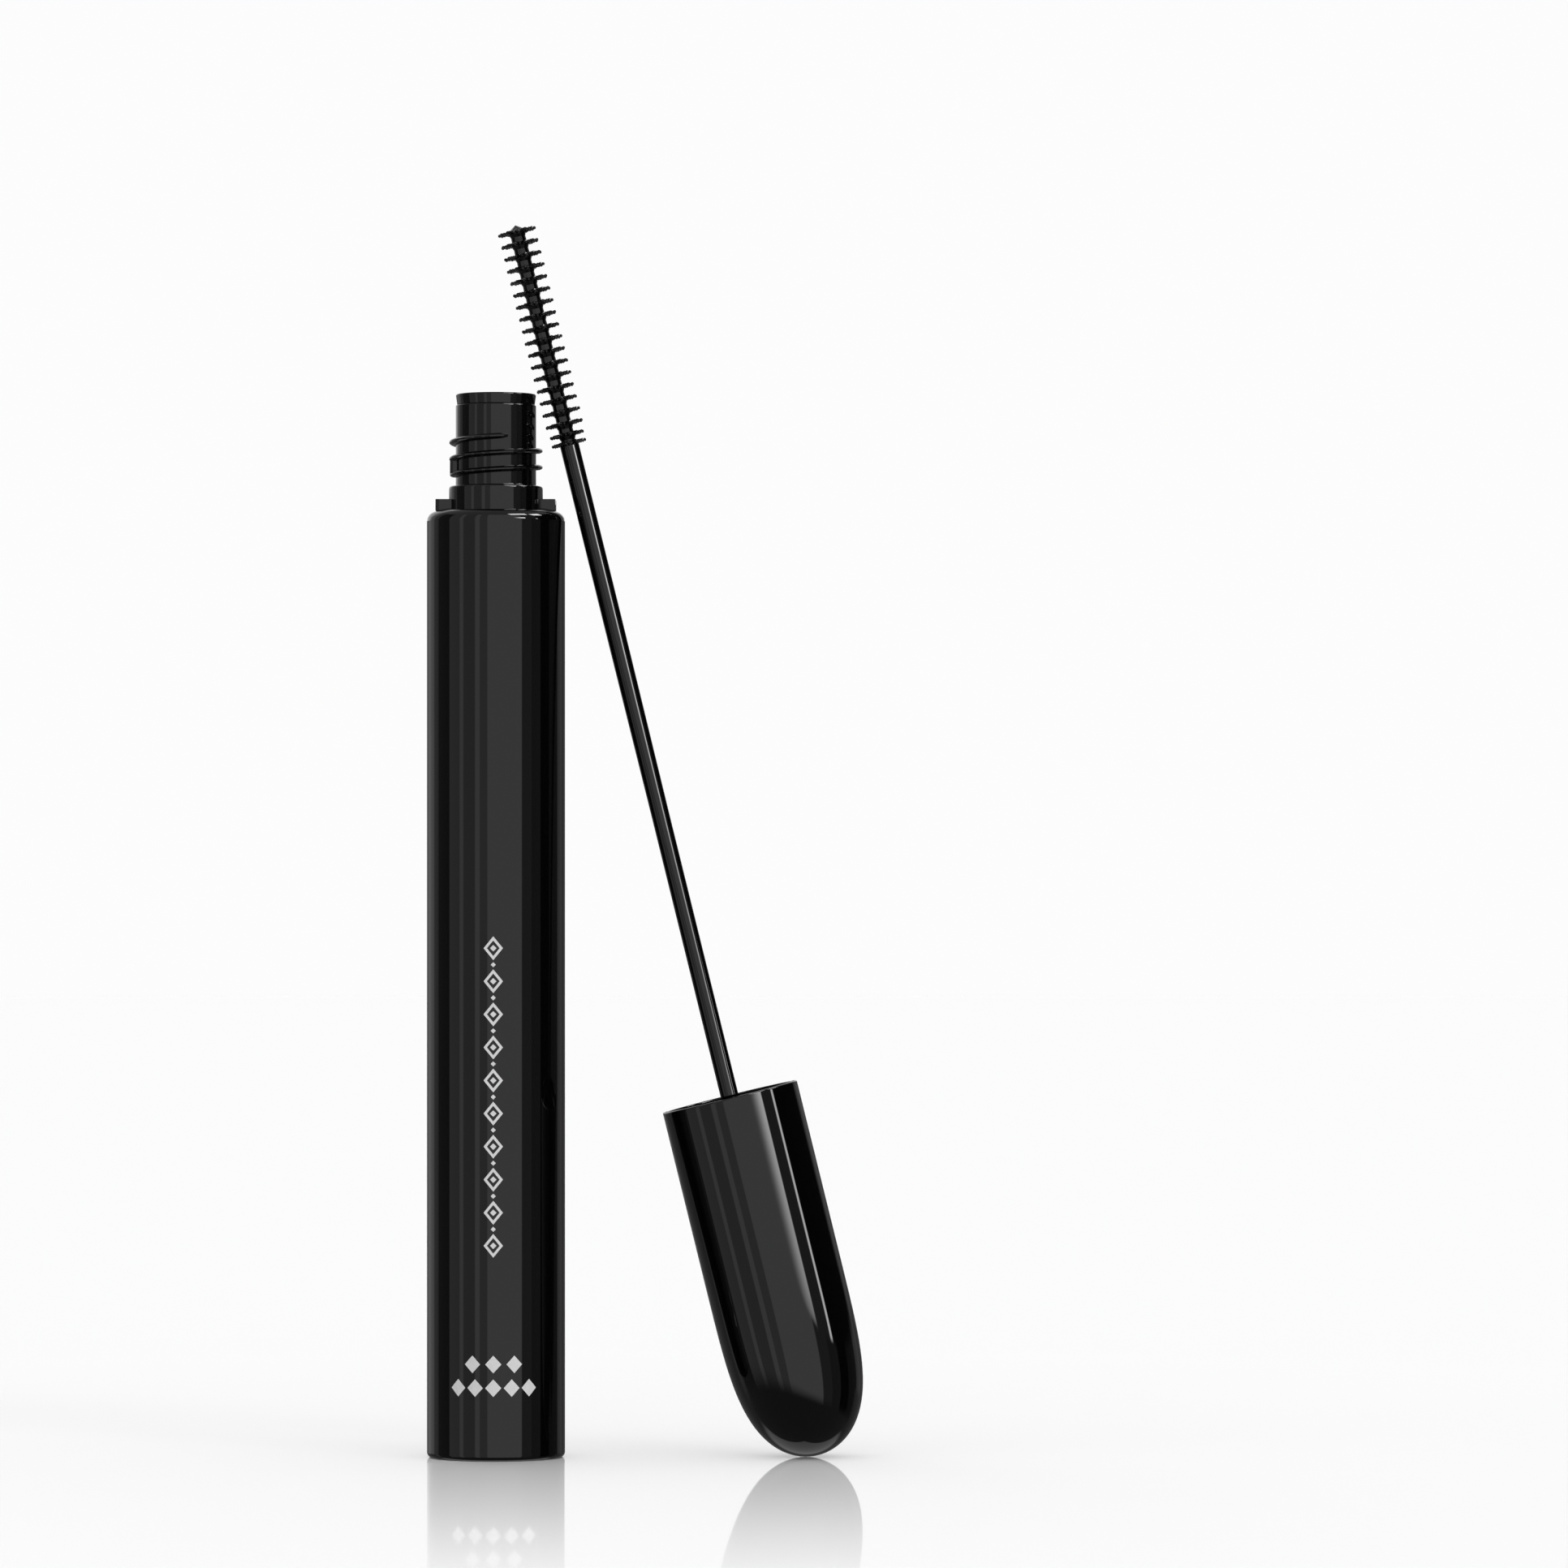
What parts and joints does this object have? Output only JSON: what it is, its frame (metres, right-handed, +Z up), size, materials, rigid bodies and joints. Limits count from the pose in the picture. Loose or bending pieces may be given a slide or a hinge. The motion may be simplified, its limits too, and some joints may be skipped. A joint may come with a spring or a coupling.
{
  "type": "mascara tube",
  "caption": "Slim round mascara tube standing open, its domed cap, wand and moulded ring brush leaning on the rim of the threaded neck.",
  "frame": {"origin": "centre of the tube's base, on the surface it stands on", "axes": "+Z up along the tube's axis, +X towards the leaning applicator, -Y the side it is seen from"},
  "size_m": [0.0473, 0.015, 0.1338],
  "materials": {
    "gloss_black": "deep black, polished, mirror-like",
    "moulded_black": "black moulded plastic, shiny with faint mould marks",
    "satin_black": "black plastic, satin",
    "soft_black": "soft black elastomer",
    "brush_black": "flexible black plastic, satin with small bright glints",
    "wet_black": "thick wet black paste",
    "label_paper": "blank white adhesive label"
  },
  "bodies": {
    "tube": {"outer_sleeve": "gloss_black", "base_plug": "satin_black", "shade_label": "label_paper", "inner_bottle": "moulded_black", "wiper": "soft_black", "mascara_paste": "wet_black"},
    "carried": {"cap_liner": "soft_black"},
    "applicator": {"cap_shell": "gloss_black", "inner_cap": "satin_black", "stem": "moulded_black", "brush": "brush_black"}
  },
  "joints": [
    {"name": "applicator_carry", "type": "hinge", "parent": "tube", "child": "carried", "pos_m": [0.00195, 0, 0.12629], "axis": [0, -1, 0], "range_deg": [0, 166.17]},
    {"name": "applicator_twist", "type": "hinge", "parent": "carried", "child": "applicator", "pos_m": [0.0254, 0, 0.03917], "axis": [-0.239, 0, 0.971], "continuous": true}
  ]
}
